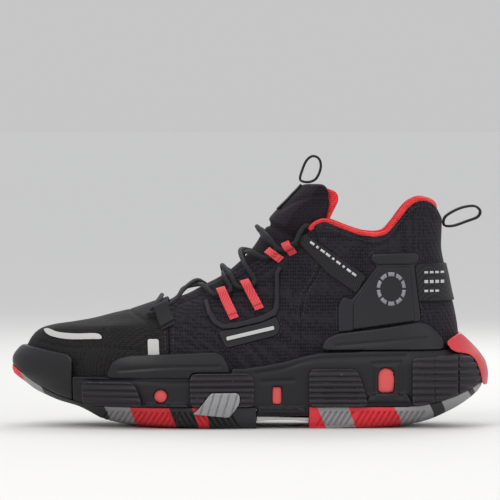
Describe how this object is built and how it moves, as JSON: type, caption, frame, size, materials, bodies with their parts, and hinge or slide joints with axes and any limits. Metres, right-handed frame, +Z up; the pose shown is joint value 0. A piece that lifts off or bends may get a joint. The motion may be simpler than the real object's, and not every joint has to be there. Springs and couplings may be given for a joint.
{
  "type": "basketball high top",
  "caption": "Black and red basketball high top, left shoe, with a sculpted carrier midsole, a padded collar, a tongue that folds and two pull loops.",
  "frame": {"origin": "on the ground under the middle of the shoe", "axes": "+X from toe to heel, +Y from the outer to the inner side of the foot, +Z up"},
  "size_m": [0.3098, 0.1126, 0.1763],
  "materials": {
    "rubber": "matte moulded rubber in red, grey and black patches",
    "grey_rubber": "matte",
    "shank_plate": "satin",
    "foam": "matte foam with a fine skin",
    "red_foam": "matte foam",
    "shell_plastic": "satin",
    "red_plastic": "satin gloss",
    "vamp_knit": "engineered mesh",
    "quarter_knit": "coarse knit",
    "padding": "soft knit over foam",
    "red_lining": "brushed knit over foam",
    "webbing": "woven",
    "red_webbing": "woven with a satin face",
    "reflective": "reflective film",
    "board": "fibre board"
  },
  "bodies": {
    "shoe": {"outsole_forefoot": "rubber", "outsole_heel": "rubber", "midfoot_shank": "shank_plate", "midsole_carrier": "foam", "midsole_core": "red_foam", "toe_bumper": "shell_plastic", "heel_clip": "red_plastic", "forefoot_pod_lateral": "foam", "forefoot_pod_medial": "foam", "midfoot_pod_lateral": "foam", "midfoot_pod_medial": "foam", "heel_front_pod_lateral": "foam", "heel_front_pod_medial": "foam", "heel_rear_pod_lateral": "foam", "grip_pad_lateral": "grey_rubber", "forefoot_wing_lateral": "shell_plastic", "heel_saddle_lateral": "shell_plastic", "heel_rear_pod_medial": "foam", "grip_pad_medial": "grey_rubber", "forefoot_wing_medial": "shell_plastic", "heel_saddle_medial": "shell_plastic", "strobel_board": "board", "insole": "padding", "toe_puff": "board", "heel_counter": "board", "vamp": "vamp_knit", "midfoot_quarter_lateral": "quarter_knit", "heel_quarter_lateral": "quarter_knit", "midfoot_quarter_medial": "quarter_knit", "heel_quarter_medial": "quarter_knit", "collar_lining": "red_lining", "tongue_gusset": "vamp_knit", "lace_frame_lateral": "shell_plastic", "side_patch_lateral": "shell_plastic", "patch_bar_lateral": "reflective", "counter_plate_lateral": "shell_plastic", "ankle_strap_lateral": "webbing", "lace_frame_medial": "shell_plastic", "side_patch_medial": "shell_plastic", "patch_bar_medial": "reflective", "counter_plate_medial": "shell_plastic", "ankle_strap_medial": "webbing", "heel_strap": "webbing", "toe_stripe_lateral": "reflective", "toe_tab_lateral": "reflective", "lace_loop_lateral_0": "webbing", "lace_loop_medial_0": "webbing", "lace_loop_lateral_1": "red_webbing", "lace_loop_medial_1": "red_webbing", "lace_loop_lateral_2": "red_webbing", "lace_loop_medial_2": "red_webbing", "lace_loop_lateral_3": "red_webbing", "lace_loop_medial_3": "red_webbing", "lace_loop_lateral_4": "red_plastic", "lace_loop_medial_4": "red_plastic", "lace": "webbing"},
    "tongue": {"tongue_pad": "padding", "tongue_lining": "red_lining"},
    "tongue_pull": {"tongue_loop": "webbing"},
    "heel_pull": {"heel_loop": "webbing"}
  },
  "joints": [
    {"name": "tongue_fold", "type": "hinge", "parent": "shoe", "child": "tongue", "pos_m": [0.008, 0, 0.1363], "axis": [0, -1, 0], "range_deg": [0, 35], "stiffness_Nm_per_rad": 0.15},
    {"name": "tongue_loop_swing", "type": "hinge", "parent": "tongue", "child": "tongue_pull", "pos_m": [0.0385, 0, 0.1592], "axis": [0, -1, 0], "range_deg": [-25, 12], "stiffness_Nm_per_rad": 0.02},
    {"name": "heel_loop_swing", "type": "hinge", "parent": "shoe", "child": "heel_pull", "pos_m": [0.1285, 0, 0.1322], "axis": [0, -1, 0], "range_deg": [-35, 18], "stiffness_Nm_per_rad": 0.02}
  ]
}
